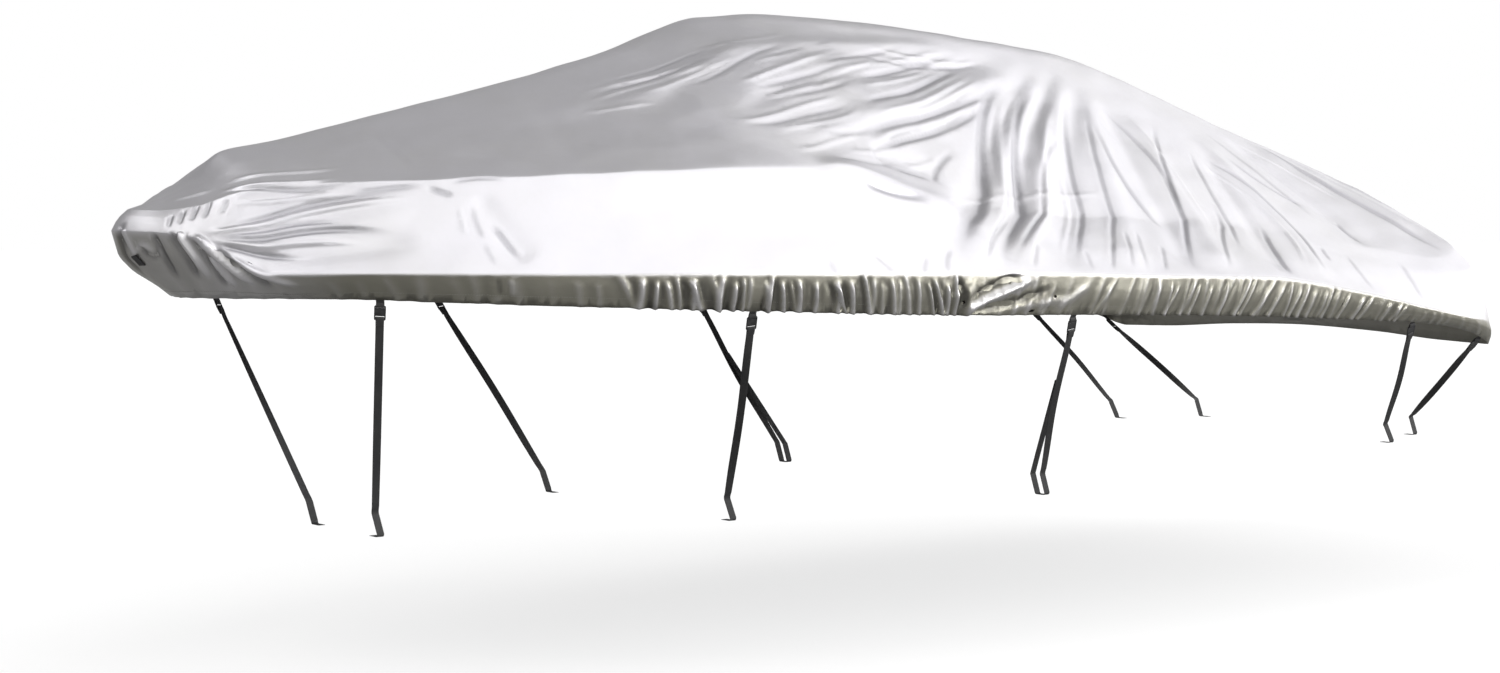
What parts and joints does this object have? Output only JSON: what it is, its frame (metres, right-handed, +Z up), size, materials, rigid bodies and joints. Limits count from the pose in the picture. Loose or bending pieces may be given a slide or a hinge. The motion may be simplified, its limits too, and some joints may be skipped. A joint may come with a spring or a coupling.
{
  "type": "boat cover",
  "caption": "Fitted boat cover of coated cloth, tented from a high point amidships, with a hem band and webbing tie-down straps on buckles",
  "frame": {"origin": "the high point under the cloth amidships, where the cover is held up, 1 mm below the cloth's inner face", "axes": "+X runs from bow to stern, +Y to starboard, +Z up; -Y is the side that the picture shows"},
  "size_m": [5.4965, 2.256, 1.7527],
  "materials": {
    "cloth": "coated weave, satin",
    "webbing": "matte",
    "buckle": "satin"
  },
  "bodies": {
    "root": {"cover": "cloth", "bow_loop": "webbing", "tab_port_1": "webbing", "tab_port_2": "webbing", "tab_port_3": "webbing", "tab_port_4": "webbing", "tab_port_5": "webbing", "tab_starboard_1": "webbing", "tab_starboard_2": "webbing", "tab_starboard_3": "webbing", "tab_starboard_4": "webbing", "tab_starboard_5": "webbing", "buckle_port_1": "buckle", "buckle_port_2": "buckle", "buckle_port_3": "buckle", "buckle_port_4": "buckle", "buckle_port_5": "buckle", "buckle_starboard_1": "buckle", "buckle_starboard_2": "buckle", "buckle_starboard_3": "buckle", "buckle_starboard_4": "buckle", "buckle_starboard_5": "buckle", "strap_port_1": "webbing", "strap_port_2": "webbing", "strap_port_3": "webbing", "strap_port_4": "webbing", "strap_port_5": "webbing", "strap_starboard_1": "webbing", "strap_starboard_2": "webbing", "strap_starboard_3": "webbing", "strap_starboard_4": "webbing", "strap_starboard_5": "webbing"}
  },
  "joints": []
}
